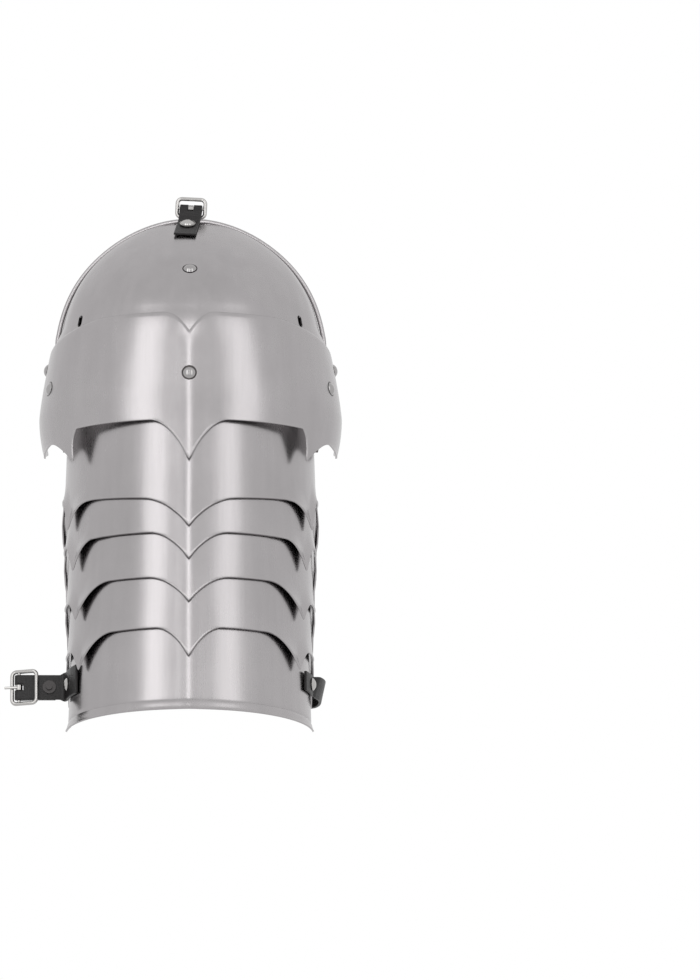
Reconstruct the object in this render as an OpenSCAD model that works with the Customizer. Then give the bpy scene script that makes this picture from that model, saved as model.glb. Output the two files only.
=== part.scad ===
// Left spaulder of riveted steel plates, worn upright on the upper arm.
// The origin is on the arm's axis at the hem. X is fore and aft, -Y is outward, +Z is up.

/* [Plates] */
// Thickness of the steel sheet
sheet_t = 1.2; // [1:0.1:1.6]
// Half width of the shoulder plate at its widest
main_half_w = 106; // [103:0.5:109]
// Depth of the shoulder plate in front of the arm's axis
main_depth = 92; // [91:0.5:94]
// Height above the hem where the shoulder plate is widest
main_wide_z = 224; // [222:0.5:227]
// Height of the crown plate's rim above the hem
crown_top_z = 363.4; // [360:0.5:366]
// Half width of the first arm lame at its lower edge
lame_half_w = 88.6; // [87.5:0.1:89.5]
// Gap left between a lame and the one inside it, at the flanks
flank_gap = 0.9; // [0.8:0.05:1.1]
// The same gap at the front, where the lames slide most
front_gap = 1.8; // [1.6:0.1:2.2]
// Gap between the shoulder plate and the crown plate under it
crown_gap = 1.3; // [1.2:0.1:1.6]
// Angle round the arm at which the lames' rear rivets sit
rear_rivet_a = 110; // [107:0.5:112]

/* [Rivets] */
// Radius of a domed rivet head
head_r = 4.5; // [4:0.1:5]
// Height of a domed rivet head
head_h = 2.3; // [1.8:0.1:2.8]
// Radius of a rivet's shank
shank_r = 2.2; // [1.8:0.1:2.6]
// Radial clearance where a plate turns on its rivet
run_gap = 0.06; // [0.03:0.01:0.1]
// Thickness of the washer inside each rivet
washer_t = 0.8; // [0.6:0.1:1]

/* [Straps] */
// Thickness of the strap leather
leather_t = 2.4; // [2:0.1:2.8]
// Width of the arm strap
arm_strap_w = 17.5; // [16:0.5:19]
// Width of the top strap
top_strap_w = 15.5; // [14:0.5:16]
// Length of the arm strap from its bend to the bar of the buckle
arm_strap_len = 33; // [30:0.5:40]
// Height of the arm straps above the hem
strap_z = 31.5; // [28:0.5:34]
// Diameter of the buckle wire
wire_d = 2.8; // [2.4:0.1:3.2]
// Height of the arm buckle's frame, along its bar
arm_buckle_w = 25.5; // [24.5:0.5:28]
// Length of the arm buckle's frame
arm_buckle_len = 21; // [19:0.5:24]
// Width of the top buckle's frame, along its bar
top_buckle_w = 22.5; // [22:0.5:25]
// Length of the top buckle's frame
top_buckle_len = 15.6; // [15:0.2:17]

/* [Hidden] */
$fn = 48;
steel = "silver";
leather = "dimgray";

// Numbering of the sleeve: 0 is the shoulder plate, 1 to 4 the lames, 5 the bottom lame.
// Each list below holds one height above the hem for each of them.
tip_z = [175.3, 128.5, 105.7, 75.7, 37.5];
arch_in_z = [204.3, 148.5, 125, 93.5, 58];
arch_out_z = [204.6, 154, 126.5, 95, 58.5];
cusp_z = [183.2, 138.6, 108.2, 72.9, 36.7];
apex_z = [199.5, 163, 128, 87, 52];
flank_z = [196.5, 161.5, 126, 86, 51];
cusp_a = [56.5, 70.2, 65.5, 63.8, 61.4];
apex_a = [71.5, 82, 78, 75, 73];
tip_w = [24, 32, 29, 30, 25];
cusp_w = [13, 26, 24, 38, 36];
top_z = [0, 214, 168, 131, 104, 68];
tip_drop = 8;
pivot_y1 = 0;
pivot_z1 = 208;
tab_r = 8;
rear_fall = 100;
// Half widths and depths of the lames at the height where each leaves the plate above it
lame_grow = 0.034;
full_a = rear_rivet_a + tab_r / lame_half_w * 180 / PI;

// Height of the rear rivets that carry a lame on the one above it
function pivot_z(n) = n == 1 ? pivot_z1 : tip_z[n - 1] - tip_drop;
// Half width and depth of a lame at its lower edge, and at any height. The first lame lies this
// far inside the shoulder plate's depth.
first_in = 3.4;
function low_w(n) = n == 1 ? lame_half_w
  : low_w(n - 1) - sheet_t - flank_gap + lame_grow * (mid_z(n - 1) - mid_z(n));
function low_d(n) = n == 1 ? main_depth - first_in
  : low_d(n - 1) - sheet_t - front_gap + lame_grow * (mid_z(n - 1) - mid_z(n));
function mid_z(n) = n == 5 ? 12 : (tip_z[n] + arch_out_z[n]) / 2;
function lame_w(n, z) = low_w(n) - lame_grow * (z - mid_z(n));
function lame_d(n, z) = low_d(n) - lame_grow * (z - mid_z(n));
// Point on a lame: angle a round the arm from the front, height z, inset under the outside
function lame_pt(n, a, z, inset = 0) =
  let (out = n == 5 ? hem_flare(z) - inset : lift(n, abs(a), z) - inset,
       w = lame_w(n, z) + out, d = abs(a) <= 90 ? lame_d(n, z) + out : w)
  [w * sin(a), -d * cos(a), z];

// The bottom lame's hem is turned out, and the other lames stand off round their cusps
hem_h = 6.5;
hem_out = 1.6;
lift_out = 2.4;
lift_h = 16;
function hem_flare(z) = hem_out * max(0, 1 - z / hem_h);
function lift(n, a, z) =
  let (near = a < cusp_a[n] ? (a - cusp_a[n] + 26) / 26 : 1 - (a - cusp_a[n]) / (97 - cusp_a[n]))
  a > 97 ? 0 : lift_out * ease(near) * pow(max(0, 1 - (z - edge_at(n, a)) / lift_h), 2);
function edge_at(n, a) = a <= cusp_a[n] ? edge_front(n, a) : edge_flank(n, min(a, 90));
function ease(t) = 1 - pow(1 - max(0, min(1, t)), 2);
function mix(p, q, t) = p + (q - p) * max(0, min(1, t));
function arc_len(a) = a * PI / 180 * lame_half_w;
// Lower edge of a plate: centre tip, broad arch, cusp, small flank arch, rear tab
function edge_front(n, a) =
  let (arch = mix(arch_in_z[n], arch_out_z[n], (a - 15) / 35),
       in_part = (arch - tip_z[n]) * (1 - ease(arc_len(a) / tip_w[n])),
       out_part = (arch - cusp_z[n]) * (1 - ease(arc_len(cusp_a[n] - a) / cusp_w[n])))
  arch - in_part - out_part;
function edge_flank(n, a) = a < apex_a[n]
  ? mix(cusp_z[n], apex_z[n], ease((a - cusp_a[n]) / (apex_a[n] - cusp_a[n])))
  : mix(apex_z[n], flank_z[n], (a - apex_a[n]) / (90 - apex_a[n]));
function tab_h(a) =
  let (s = arc_len(a - rear_rivet_a)) sqrt(max(0, tab_r * tab_r - s * s));
function hem_z(a) = a < 86 ? 0
  : a < rear_rivet_a ? (pivot_z(5) - tab_r) * pow((a - 86) / (rear_rivet_a - 86), 1.4)
  : pivot_z(5) - tab_h(a);
function edge_rear(n, a) = a < rear_rivet_a
  ? mix(flank_z[n], pivot_z(n + 1) - tab_r, (a - 92) / (rear_fall - 92))
  : pivot_z(n + 1) - tab_h(a);
function lame_low(n, a) = n == 5 ? hem_z(a)
  : a <= cusp_a[n] ? edge_front(n, a)
  : a <= 92 ? edge_flank(n, a) : edge_rear(n, a);
function lame_high(n, a) = n == 1
  ? mix(top_z[1], top_z[1] - 22, (a - 96) / (full_a - 96))
  : a < rear_rivet_a ? mix(top_z[n], pivot_z(n) + tab_r, (a - 93) / (rear_fall - 93))
  : pivot_z(n) + tab_h(a);

// Angles of the columns of a lame: even steps, with its cusps and apexes hit exactly
function steps(from, to, n) = [for (i = [0 : n - 1]) from + (to - from) * i / n];
function half_angles(n) = concat(
  steps(0, 18, 9), steps(18, cusp_a[min(n, 4)] - 12, 7),
  steps(cusp_a[min(n, 4)] - 12, cusp_a[min(n, 4)], 7),
  steps(cusp_a[min(n, 4)], apex_a[min(n, 4)], 5), steps(apex_a[min(n, 4)], 92, 3),
  steps(92, rear_fall, 3), steps(rear_fall, full_a, 7), [full_a]);
function both_sides(half) = concat(
  [for (i = [len(half) - 1 : -1 : 1]) -half[i]], half);

// Closed shell from two grids of points, outside and inside, each rows by cols
module shell(outside, inside) {
  rows = len(outside);
  cols = len(outside[0]);
  points = concat([for (r = outside) for (p = r) p], [for (r = inside) for (p = r) p]);
  far = rows * cols;
  function id(r, c) = r * cols + c;
  faces = concat(
    [for (r = [0 : rows - 2], c = [0 : cols - 2])
      each [[id(r, c), id(r + 1, c), id(r + 1, c + 1)], [id(r, c), id(r + 1, c + 1), id(r, c + 1)]]],
    [for (r = [0 : rows - 2], c = [0 : cols - 2])
      each [[far + id(r, c), far + id(r + 1, c + 1), far + id(r + 1, c)],
            [far + id(r, c), far + id(r, c + 1), far + id(r + 1, c + 1)]]],
    [for (c = [0 : cols - 2])
      each [[id(0, c), id(0, c + 1), far + id(0, c + 1)], [id(0, c), far + id(0, c + 1), far + id(0, c)],
            [id(rows - 1, c), far + id(rows - 1, c + 1), id(rows - 1, c + 1)],
            [id(rows - 1, c), far + id(rows - 1, c), far + id(rows - 1, c + 1)]]],
    [for (r = [0 : rows - 2])
      each [[id(r, 0), far + id(r + 1, 0), id(r + 1, 0)], [id(r, 0), far + id(r, 0), far + id(r + 1, 0)],
            [id(r, cols - 1), id(r + 1, cols - 1), far + id(r + 1, cols - 1)],
            [id(r, cols - 1), far + id(r + 1, cols - 1), far + id(r, cols - 1)]]]);
  polyhedron(points, faces, convexity = 8);
}

// Shape of the shoulder dome, shared by the shoulder plate and the crown plate
dome_h = crown_top_z + 0.6 - main_wide_z;
front_z = 255.8;
front_r = 91.9;
bend_a = 42;
bend_z = front_z + front_r * sin(bend_a);
shape_depth = 92;
bend_y = -shape_depth + front_r * (1 - cos(bend_a));
rim_lean = 15;
// Below its bulge the shoulder plate is drawn in, until it lies close over the first lame
bulge_z = 229;
close_z = 203;
close_in = 2.5;
function draw_in(z) =
  let (t = min(1, (bulge_z - z) / (bulge_z - close_z)))
  close_in * t * t * (3 - 2 * t) - 0.07 * max(0, close_z - z);
function dome_w(z) = z < main_wide_z ? main_half_w - 3.1 * pow((main_wide_z - z) / 25, 2)
  : let (u = (z - main_wide_z) / dome_h) main_half_w * sqrt(1 - u * u) - 2 * sin(360 * u);
function front_shape(z) = z < bulge_z ? -shape_depth + draw_in(z)
  : z < front_z ? -shape_depth
  : z < bend_z ? -shape_depth + front_r * (1 - sqrt(1 - pow((z - front_z) / front_r, 2)))
  : let (h = z - bend_z) bend_y + tan(bend_a) * h + 0.0055 * h * h;
function dome_front(z) = dome_mid(z) + (front_shape(z) - dome_mid(z)) * main_depth / shape_depth;
function dome_mid(z) = -rim_lean * max(0, z - 250) / 114;
function dome_raw(a, z) =
  let (m = dome_mid(z), d = abs(a) <= 90 ? m - dome_front(z) : dome_w(z))
  [dome_w(z) * sin(a), m - d * cos(a), z];
function unit(v) = v / norm(v);
function dome_normal(a, z) =
  unit(cross(dome_raw(a + 0.5, z) - dome_raw(a - 0.5, z), dome_raw(a, z + 0.2) - dome_raw(a, z - 0.2)));
function dome_pt(a, z, inset = 0) = dome_raw(a, z) - inset * dome_normal(a, z);

main_full_a = 104;
crown_pivot_z = 259.5;
crown_pivot_y = dome_mid(crown_pivot_z);
crown_low_z = 249.5;
notch_z = 267.5;
upper_z = 281.6;
function main_high(a) =
  let (side = mix(upper_z, 271, (a - 42) / 45))
  side - (upper_z - notch_z) * (1 - ease(arc_len(a) / 17));
function main_low(a) = a <= cusp_a[0] ? edge_front(0, a)
  : a <= 90 ? edge_flank(0, a) : mix(flank_z[0], flank_z[0] + 8, (a - 90) / 14);
main_angles = both_sides(concat(
  steps(0, 18, 8), steps(18, cusp_a[0] - 8, 8), steps(cusp_a[0] - 8, cusp_a[0], 5),
  steps(cusp_a[0], apex_a[0], 5), steps(apex_a[0], 90, 6), steps(90, main_full_a, 4), [main_full_a]));
main_rows = 11;

module main_plate() color(steel)
  difference() {
    shell([for (r = [0 : main_rows]) [for (a = main_angles)
            dome_pt(a, mix(main_low(abs(a)), main_high(abs(a)), r / main_rows))]],
          [for (r = [0 : main_rows]) [for (a = main_angles)
            dome_pt(a, mix(main_low(abs(a)), main_high(abs(a)), r / main_rows), sheet_t)]]);
    at_dome(0, main_rivet_z) shank_hole();
    for (s = [-1, 1]) {
      at_dome(s * hanger_a, hanger_z) shank_hole();
      at_crown_pivot(s) shank_hole();
    }
  }

// Places a child on the dome, with +Z along the dome's outward normal
module at_dome(a, z, inset = 0) {
  v = dome_normal(a, z);
  translate(dome_pt(a, z, inset)) rotate([0, acos(v[2]), atan2(v[1], v[0])]) children();
}
module at_crown_pivot(s)
  translate([s * dome_w(crown_pivot_z), crown_pivot_y, crown_pivot_z]) rotate([0, s * 90, 0]) children();
module shank_hole(extra = 0)
  translate([0, 0, -20]) cylinder(r = shank_r + set_gap + extra, h = 40);
set_gap = 0.02;
main_rivet_z = 236.4;
crown_rivet_z = 317;
hanger_a = 71;
hanger_z = 239.5;

// Domed head whose flat underside lies at z = 0
module dome_head(r = head_r, h = head_h) {
  ball = (r * r + h * h) / (2 * h);
  intersection() {
    translate([0, 0, h - ball]) sphere(r = ball, $fn = 96);
    cylinder(r = r, h = h);
  }
}
// Rivet along +Z: head outside, shank through the work, washer and peened end inside
module rivet(grip, lift = 0) {
  translate([0, 0, lift]) dome_head();
  translate([0, 0, -grip - washer_t]) cylinder(r = shank_r, h = grip + washer_t + lift);
  translate([0, 0, -grip - washer_t - 0.9]) cylinder(r = shank_r + 0.9, h = 0.9);
}
crown_grip = sheet_t + crown_gap + sheet_t + 1.6;
module main_rivets() color(steel) {
  at_dome(0, main_rivet_z) rivet(sheet_t + flat_gap + 2 * (leather_in + layer_gap) + 0.3, 0.12);
  for (s = [-1, 1]) {
    at_dome(s * hanger_a, hanger_z) rivet(sheet_t + hanger_gap + leather_t + 0.2, 0.12);
    at_dome(s * 90, crown_pivot_z) translate([0, 0, 0.12]) dome_head();
    at_crown_pivot(s) {
      translate([0, 0, -crown_grip - 1.3]) cylinder(r = shank_r, h = crown_grip + 1.7);
      translate([0, 0, -crown_grip - 1.3]) cylinder(r = shank_r + 0.9, h = 0.9);
    }
  }
}
leather_in = 1.8;

// Leather hangers inside the shoulder plate, from its flank rivets to the first lame's pivots
hanger_r = 7;
hanger_gap = 0.4;
hanger_x = lame_w(1, pivot_z1) + 0.45;
module hanger(s) difference() {
  hull() {
    at_dome(s * hanger_a, hanger_z, sheet_t + hanger_gap) translate([0, 0, -leather_t])
      cylinder(r = hanger_r, h = leather_t, $fn = 32);
    at_first_pivot(s) cylinder(r = hanger_r, h = leather_t, $fn = 32);
  }
  at_dome(s * hanger_a, hanger_z) {
    shank_hole();
    translate([0, 0, -sheet_t - hanger_gap - leather_t - 20]) cylinder(r = shank_r + 1.6, h = 20);
  }
  at_first_pivot(s) {
    shank_hole(run_gap - set_gap);
    translate([0, 0, leather_t]) cylinder(r = head_r + 0.6, h = 20);
  }
}
module at_first_pivot(s)
  translate([s * hanger_x, pivot_y1, pivot_z1]) rotate([0, s * 90, 0]) children();
module hanger_leathers() color(leather) for (s = [-1, 1]) hanger(s);
// The first lame's own rivets turn in the hangers
module lame_1_rivets() color(steel) for (s = [-1, 1])
  at_first_pivot(s) {
    translate([0, 0, leather_t + 0.35]) dome_head(head_r, 1.8);
    translate([0, 0, -3]) cylinder(r = shank_r, h = leather_t + 3.5);
    translate([0, 0, -3.1]) cylinder(r = shank_r + 1.6, h = 1.1);
  }

// Crown plate: the dome's upper part, tucked under the shoulder plate, up to its rim
crown_inset = sheet_t + crown_gap;
crown_cols = 56;
crown_rows = 15;
function crown_inset_at(z) = crown_inset * (1 - ease((z - 285) / 50));
function crown_full_a(z) = 90 + 5.5 * (1 - ease((z - 262) / 22));
function crown_low(s) = crown_low_z + 4 * sin(90 * abs(s));
function crown_point(s, r, inset) =
  let (z = mix(crown_low(s), crown_top_z, ease(r / crown_rows)))
  dome_pt(s * crown_full_a(z), z, crown_inset_at(z) + inset);
slot_w = 4.4;
slot_h = 8.6;
module crown_plate() color(steel)
  difference() {
    shell([for (r = [0 : crown_rows]) [for (c = [0 : crown_cols]) crown_point(2 * c / crown_cols - 1, r, 0)]],
          [for (r = [0 : crown_rows]) [for (c = [0 : crown_cols])
            crown_point(2 * c / crown_cols - 1, r, sheet_t)]]);
    at_dome(0, crown_rivet_z) shank_hole();
    at_top() shank_hole();
    for (s = [-1, 1]) {
      at_crown_pivot(s) shank_hole(run_gap - set_gap);
      at_slot(s) lacing_slot();
    }
  }
slot_a = 56;
slot_z = 284;
module at_slot(s) at_dome(s * slot_a, slot_z, 1.5) children();
module lacing_slot() linear_extrude(14, center = true) {
  square([slot_h - slot_w, slot_w], center = true);
  for (e = [-1, 1]) translate([e * (slot_h - slot_w) / 2, 0]) circle(d = slot_w);
}

// Wire rolled into the crown's rim, from one flank over the top to the other
rim_wire_r = 1.7;
rim_z0 = 279;
function rim_pt(t) =
  let (u = abs(t), z = mix(rim_z0, crown_top_z, ease(u)), p = crown_point_at(90 * sign(t), z))
  p + [0, rim_wire_r + 0.9, 0];
function crown_point_at(a, z) = dome_pt(a, z, crown_inset_at(z) + sheet_t / 2);
rim_half = 20;
rim_path = concat([for (i = [0 : rim_half]) rim_pt(-(i + 0.001) / rim_half)],
                  [for (i = [rim_half : -1 : 0]) rim_pt((i + 0.001) / rim_half)]);
module crown_rim_wire() color(steel) tube(rim_path, rim_wire_r, 8);

// Tube swept along a path that stays near one upright plane
module tube(path, r, sides) {
  n = len(path);
  function along(i) = unit(path[min(n - 1, i + 1)] - path[max(0, i - 1)]);
  function ring(i) =
    let (t = along(i), u = unit(cross(t, [0, 1, 0])), v = cross(t, u))
    [for (k = [0 : sides - 1]) path[i] + r * (cos(360 * k / sides) * u + sin(360 * k / sides) * v)];
  points = [for (i = [0 : n - 1]) each ring(i)];
  faces = concat(
    [[for (k = [0 : sides - 1]) k]],
    [[for (k = [sides - 1 : -1 : 0]) (n - 1) * sides + k]],
    [for (i = [0 : n - 2], k = [0 : sides - 1])
      each [[i * sides + k, (i + 1) * sides + k, (i + 1) * sides + (k + 1) % sides],
            [i * sides + k, (i + 1) * sides + (k + 1) % sides, i * sides + (k + 1) % sides]]]);
  polyhedron(points, faces, convexity = 4);
}
module crown_rivet() color(steel) at_dome(0, crown_rivet_z, crown_inset_at(crown_rivet_z))
  rivet(sheet_t + flat_gap + leather_in + 1.15, 0.12);

function lame_rows(n) = n == 5 ? [0, hem_h / top_z[5], 0.4, 1] : [0, 0.08, 0.18, 0.3, 1];
// One arm lame: a rolled plate whose lower edge follows the pattern above
module lame(n) color(steel)
  difference() {
    shell([for (t = lame_rows(n)) [for (a = both_sides(half_angles(n)))
            lame_pt(n, a, mix(lame_low(n, abs(a)), lame_high(n, abs(a)), t))]],
          [for (t = lame_rows(n)) [for (a = both_sides(half_angles(n)))
            lame_pt(n, a, mix(lame_low(n, abs(a)), lame_high(n, abs(a)), t), sheet_t)]]);
    for (s = [-1, 1]) {
      if (n == 1) at_first_pivot(s) shank_hole();
      else at_rear(n, s) shank_hole(run_gap - set_gap);
      if (n < 5) at_rear(n + 1, s) shank_hole();
    }
    if (n == 5) for (s = [-1, 1]) at_strap_rivet(s) shank_hole();
    at_centre(n) cylinder(r = shank_r + set_gap, h = 40, center = true);
  }
// Rear rivets that carry lame n lie on the plate above it, along X
module at_rear(n, s)
  translate([s * lame_w(n - 1, pivot_z(n)) * sin(rear_rivet_a),
             -lame_w(n - 1, pivot_z(n)) * cos(rear_rivet_a), pivot_z(n)]) rotate([0, s * 90, 0]) children();
module rear_rivets(n) color(steel) for (s = [-1, 1]) {
  at_rear(n, s) {
    translate([0, 0, -7.2]) cylinder(r = shank_r, h = 7.9);
    translate([0, 0, -7.2]) cylinder(r = shank_r + 1.2, h = 0.8);
  }
  translate([s * lame_w(n - 1, pivot_z(n)) * sin(rear_rivet_a),
             -lame_w(n - 1, pivot_z(n)) * cos(rear_rivet_a), pivot_z(n)])
    rotate([0, 90, s > 0 ? rear_rivet_a - 90 : 270 - rear_rivet_a])
      translate([0, 0, 0.25]) dome_head(3.8, 1.8);
}
module lame_2_rivets() rear_rivets(2);
module lame_3_rivets() rear_rivets(3);
module lame_4_rivets() rear_rivets(4);
module bottom_lame_rivets() rear_rivets(5);
module lame_1() lame(1);
module lame_2() lame(2);
module lame_3() lame(3);
module lame_4() lame(4);
module bottom_lame() lame(5);

// Height of a lame's centre rivet, hidden under the tip of the plate above
centre_w = 20;
function centre_z(n) = tip_z[n - 1] + 20 - 1.2 * n;
module at_centre(n) translate([0, -lame_d(n, centre_z(n)), centre_z(n)]) rotate([90, 0, 0]) children();
// Inner centre leather from plate n to the next, under one rivet on each: it lies inside the
// leather above it at its upper end, and against the plate at its lower end
layer_gap = 0.3;
end_len = 6.5;
flat_gap = layer_gap + pow(centre_w / 2, 2) / (2 * lame_half_w);
function inside_y(n, z) = (n == 0 ? dome_front(z) : -lame_d(n, z)) + sheet_t + flat_gap;
function upper_y(n, z) = inside_y(n, z) + leather_in + layer_gap;
module centre_strip(n) color(leather) {
  z1 = n == 0 ? main_rivet_z : centre_z(n);
  z2 = centre_z(n + 1);
  turn = top_z[n + 1] + 3;
  path = [[upper_y(n, z1 + end_len), z1 + end_len], [upper_y(n, z1 - 4), z1 - 4],
          [inside_y(n + 1, turn), turn], [inside_y(n + 1, z2 - end_len), z2 - end_len]];
  difference() {
    rotate([90, 0, 90]) linear_extrude(centre_w, center = true)
      polygon(concat(path, [for (i = [3 : -1 : 0]) path[i] + [leather_in, 0]]));
    for (z = [z1, z2]) translate([0, 0, z]) rotate([90, 0, 0])
      cylinder(r = shank_r + set_gap, h = 300, center = true);
  }
}
// Flush rivet on a lame's centre line, through as many leathers as it holds
module centre_rivet(n) color(steel) at_centre(n) {
  grip = sheet_t + flat_gap + (n < 5 ? 2 : 1) * (leather_in + layer_gap) + 0.2;
  translate([0, 0, 0.12]) cylinder(r = head_r - 0.5, h = 0.6);
  translate([0, 0, -grip - washer_t]) cylinder(r = shank_r, h = grip + washer_t + 0.3);
  translate([0, 0, -grip - washer_t]) cylinder(r = shank_r + 1.2, h = washer_t);
}
module centre_rivet_1() centre_rivet(1);
module centre_rivet_2() centre_rivet(2);
module centre_rivet_3() centre_rivet(3);
module centre_rivet_4() centre_rivet(4);
module centre_rivet_5() centre_rivet(5);
// Leather that joins the crown to the shoulder plate, between the two centre rivets
module crown_leather() color(leather) {
  z_mid = crown_low_z - 2;
  upper = [for (z = [crown_rivet_z + 9, crown_rivet_z - 15, 285, 262, z_mid]) [dome_front(z) + gap_in(z), z]];
  lower = [[dome_front(main_rivet_z + 7) + sheet_t + flat_gap, main_rivet_z + end_len],
           [dome_front(main_rivet_z - end_len) + sheet_t + flat_gap, main_rivet_z - end_len]];
  line = concat(upper, lower);
  difference() {
    rotate([90, 0, 90]) linear_extrude(centre_w - 4, center = true)
      polygon(concat(line, [for (i = [len(line) - 1 : -1 : 0]) line[i] + thick_way(line, i) * leather_in]));
    at_dome(0, main_rivet_z) shank_hole();
    at_dome(0, crown_rivet_z) shank_hole();
  }
}
function gap_in(z) = (crown_inset_at(z) + sheet_t + flat_gap + 0.4) / cos(dome_slope(z));
function dome_slope(z) = atan((dome_front(z + 0.1) - dome_front(z - 0.1)) / 0.2);
function thick_way(line, i) =
  let (d = unit(line[min(len(line) - 1, i + 1)] - line[max(0, i - 1)])) [-d[1], d[0]];

module centre_leather_0() centre_strip(0);
module centre_leather_1() centre_strip(1);
module centre_leather_2() centre_strip(2);
module centre_leather_3() centre_strip(3);
module centre_leather_4() centre_strip(4);

// Leathers of the arm strap, at the hem: each base lies on a flank, s = -1 left and 1 right
strap_gap = 0.35;
base_low_a = 66;
base_high_a = 86;
fold_t = 1.6;
bar_r = 1.1;
bar_gap = 0.1;
function around(a, out) = let (p = lame_pt(5, a, strap_z - 8, -out)) [p[0], p[1]];
module flank_band(s, from_a, to_a, h, out) {
  angles = [for (i = [0 : 10]) from_a + (to_a - from_a) * i / 10];
  translate([0, 0, strap_z - h / 2]) linear_extrude(h)
    polygon(concat([for (a = angles) around(s * a, out)],
                   [for (i = [10 : -1 : 0]) around(s * angles[i], out + leather_t)]));
}
strap_rivet_a = 80;
module at_strap_rivet(s) translate(lame_pt(5, s * strap_rivet_a, strap_z))
  rotate([0, 90, s > 0 ? strap_rivet_a - 90 : 270 - strap_rivet_a]) children();
module strap_base(s, from_a, h) color(leather) difference() {
  flank_band(s, from_a, base_high_a, h, strap_gap);
  at_strap_rivet(s) shank_hole();
}
module base_rivet(s) color(steel) at_strap_rivet(s) rivet(sheet_t + 0.9, strap_gap + leather_t + 0.55);
module arm_strap_base() strap_base(-1, base_low_a, arm_strap_w + 3);
module arm_strap_base_rivet() base_rivet(-1);
module end_strap_base() strap_base(1, base_low_a + 4, arm_strap_w - 2);
module end_strap_base_rivet() base_rivet(1);

// Line on which each strap bends away from its base
root_x = lame_w(5, strap_z) + strap_gap + leather_t + strap_gap + leather_t / 2 + 0.3;
root_y = -4.6;
bar_x = root_x + arm_strap_len - leather_t;
bar_y = root_y - leather_t / 2 + bar_r + bar_gap + fold_t;
fold_from = 5;
prong_slot = 4.4;
// Strap outline in section: root at the origin, fold round the bar at u = length, fold back on +w
ring_r = bar_r + bar_gap + fold_t;
function arc_points(x, y, r, from, to) =
  [for (i = [0 : 10]) let (a = from + (to - from) * i / 10) [x + r * cos(a), y + r * sin(a)]];
module fold_outline(length, fold_from) difference() {
  polygon(concat(arc_points(0, 0, leather_t / 2, 90, 270),
                 arc_points(length, ring_r - leather_t / 2, ring_r, -90, 90),
                 [[length * 0.7, leather_t / 2 + fold_t], [fold_from, leather_t / 2 + fold_t],
                  [fold_from, leather_t / 2]]));
  translate([length, ring_r - leather_t / 2]) circle(r = bar_r + bar_gap);
}
fold_rivet_x = root_x + 9.5;
module arm_strap() color(leather) mirror([1, 0, 0]) difference() {
  translate([0, 0, strap_z - arm_strap_w / 2]) linear_extrude(arm_strap_w)
    translate([root_x, root_y]) fold_outline(bar_x - root_x, fold_from);
  translate([bar_x - 3, bar_y - 8, strap_z - prong_slot / 2]) cube([12, 16, prong_slot]);
  translate([fold_rivet_x, 0, strap_z]) rotate([90, 0, 0])
    cylinder(r = shank_r + set_gap, h = 60, center = true);
}
module arm_strap_fold_rivet() color(steel) translate([-fold_rivet_x, 0, strap_z]) rotate([90, 0, 0]) {
  translate([0, 0, -root_y + leather_t / 2 + 0.1]) cylinder(r = 4.6, h = 0.7);
  translate([0, 0, -root_y - leather_t / 2 - fold_t - 0.5]) cylinder(r = shank_r, h = 2 * leather_t + fold_t + 0.7);
  translate([0, 0, -root_y - leather_t / 2 - fold_t - 0.9]) cylinder(r = 3.6, h = 0.7);
}

// Buckle frame with its bar along Z through the origin: far_u and near_u are the side bars' places
module rod(p, q, r) translate(p) {
  v = q - p;
  rotate([0, acos(v[2] / norm(v)), atan2(v[1], v[0])]) cylinder(r = r, h = norm(v));
}
corner_r = 3.2;
module wire_corner(u, z, turn, r) translate([u, 0, z]) rotate([90, turn, 0])
  rotate_extrude(angle = 90) translate([corner_r, 0]) circle(r = r, $fn = 32);
module buckle_frame(w, near_u, far_u) {
  r = wire_d / 2;
  h = w / 2 - r;
  for (u = [near_u, far_u]) translate([u, 0, -h + corner_r]) cylinder(r = r, h = 2 * (h - corner_r));
  for (s = [-1, 1]) rod([near_u + corner_r, 0, s * h], [far_u - corner_r, 0, s * h], r);
  wire_corner(far_u - corner_r, h - corner_r, 0, r);
  wire_corner(far_u - corner_r, -h + corner_r, 90, r);
  wire_corner(near_u + corner_r, h - corner_r, -90, r);
  wire_corner(near_u + corner_r, -h + corner_r, 180, r);
  translate([0, 0, -h]) cylinder(r = bar_r, h = 2 * h);
}
// Prong: a loop round the bar and a rod that lies on the near bar, whose centre is near
prong_r = 0.9;
prong_len = 9.5;
module prong(near) {
  from = [-0.9, -bar_r - bar_gap - 0.6];
  way = near - from;
  turn = atan2(way[1], way[0]) + asin((wire_d / 2 + prong_r + 0.15) / norm(way));
  difference() {
    translate([0, 0, -1.7]) cylinder(r = bar_r + bar_gap + 1.3, h = 3.4);
    translate([0, 0, -5]) cylinder(r = bar_r + bar_gap, h = 10);
  }
  translate([from[0], from[1], 0]) rotate([0, 90, turn]) cylinder(r = prong_r, h = prong_len);
}
function near_at(u, tilt) = [u * cos(tilt), u * sin(tilt)];
frame_tilt = 20.5;
arm_near = -5.2;
arm_far = arm_buckle_len - wire_d + arm_near;
module at_arm_bar() translate([-bar_x, bar_y, strap_z]) children();
module arm_buckle_frame() color(steel) at_arm_bar() rotate([0, 0, -frame_tilt]) buckle_frame(arm_buckle_w, arm_near, arm_far);
module arm_buckle_prong() color(steel) at_arm_bar() prong(near_at(arm_near, -frame_tilt));

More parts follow.
